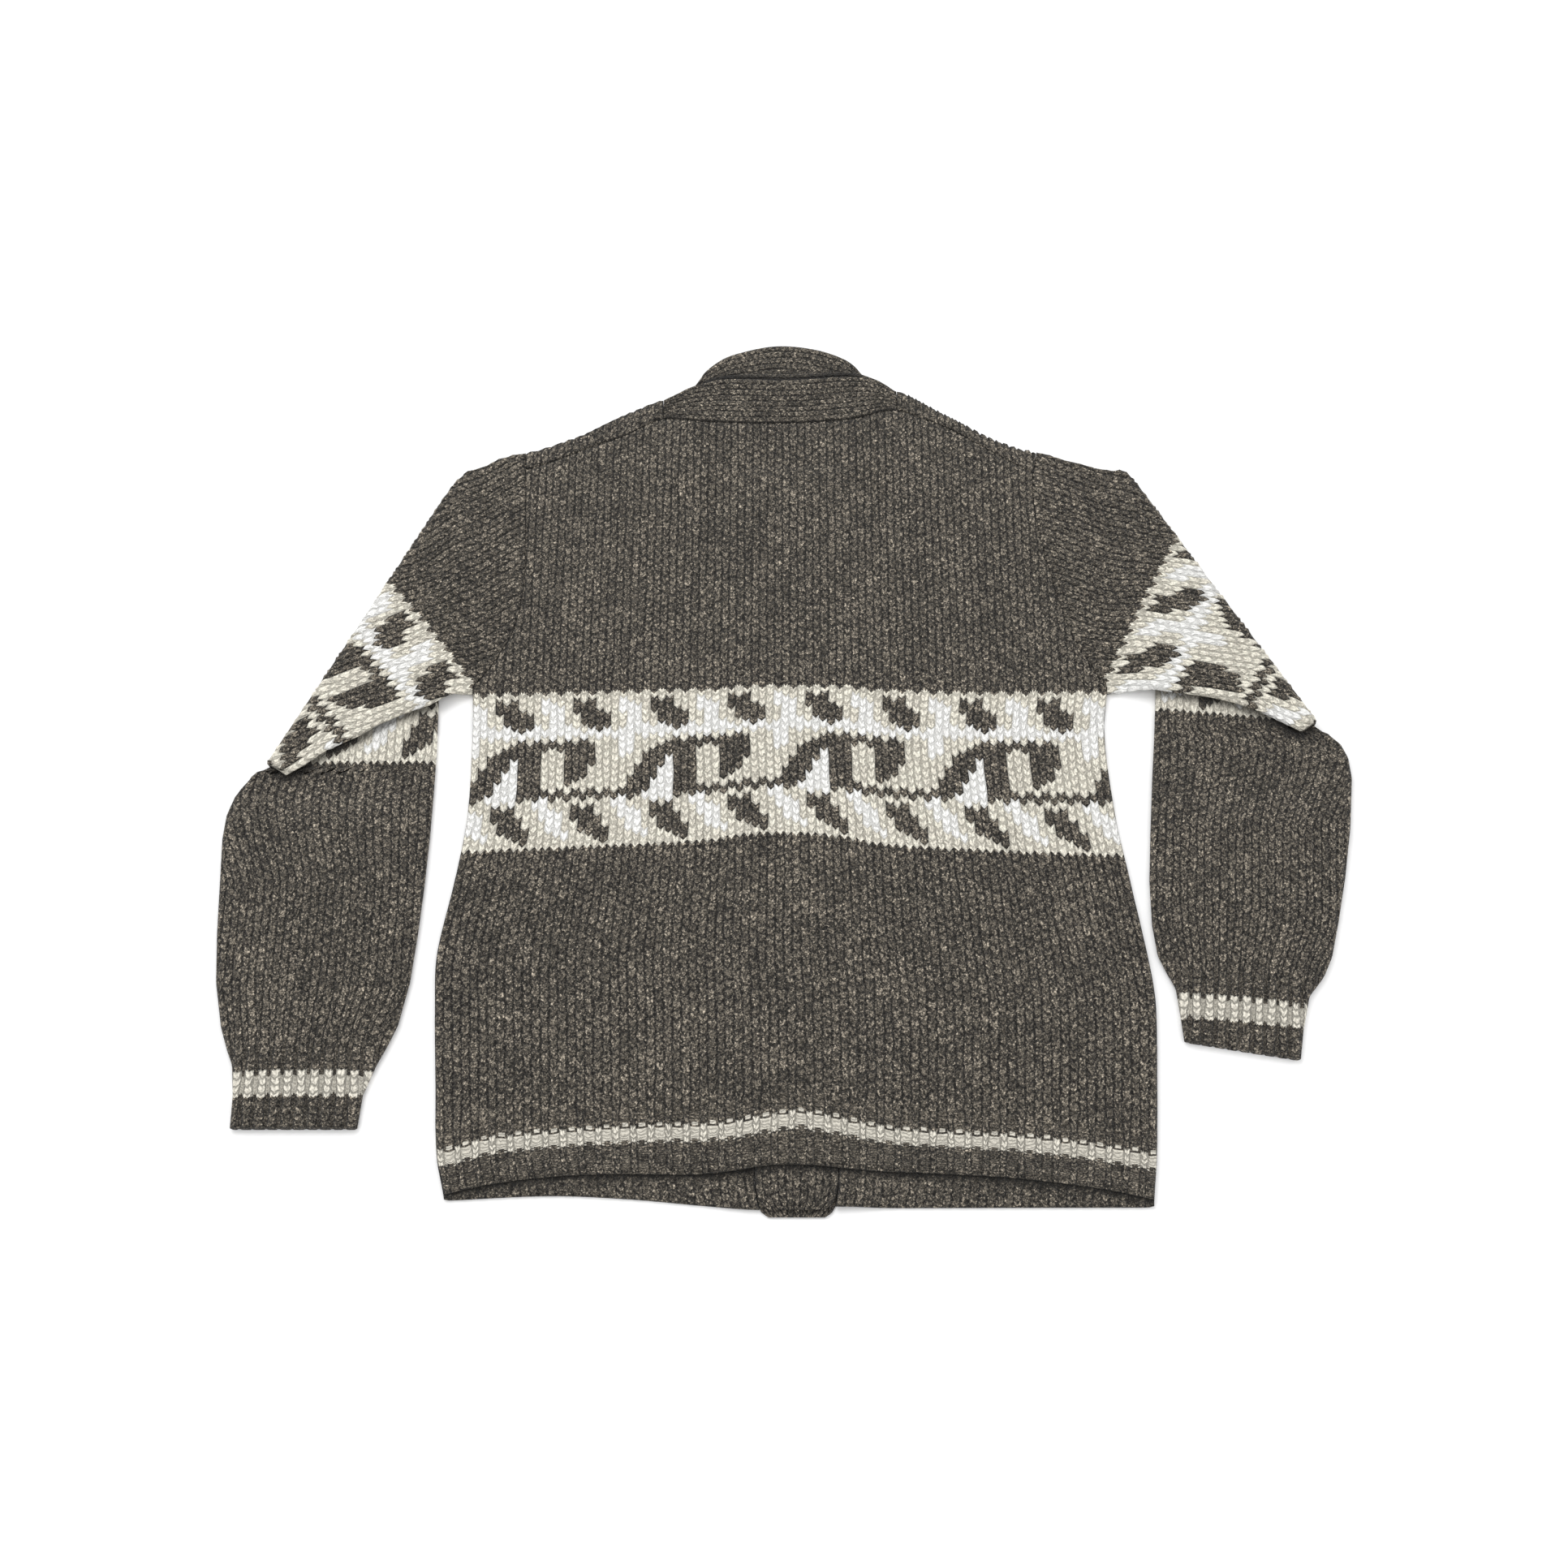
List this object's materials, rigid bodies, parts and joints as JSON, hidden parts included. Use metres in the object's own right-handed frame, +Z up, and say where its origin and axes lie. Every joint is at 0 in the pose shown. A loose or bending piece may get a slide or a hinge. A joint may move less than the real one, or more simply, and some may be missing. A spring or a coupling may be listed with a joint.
{
  "type": "cardigan",
  "caption": "Hand-knitted wool cardigan with a buttoned front and a stand collar, laid face down with both sleeves folded under.",
  "frame": {"origin": "on the floor under the middle of the bounding box of the garment as it lies", "axes": "+X across the garment to the right as seen with the hem nearest, +Y from the hem to the neck, +Z up from the floor"},
  "size_m": [0.9564, 0.8494, 0.0203],
  "materials": {
    "wool_knit": "heathered bulky wool, knitted plain, matte",
    "wool_trim": "heathered bulky wool, firm knit, matte",
    "button_leather": "satin brown leather"
  },
  "bodies": {
    "root": {"back": "wool_knit", "front_left": "wool_knit", "front_right": "wool_knit", "sleeve_left": "wool_knit", "sleeve_right": "wool_knit", "band_button": "wool_trim", "band_buttonhole": "wool_trim", "collar_back": "wool_trim", "collar_left": "wool_trim", "collar_right": "wool_trim", "button_1": "button_leather", "button_2": "button_leather", "button_3": "button_leather", "button_4": "button_leather", "button_5": "button_leather", "button_6": "button_leather"}
  },
  "joints": []
}
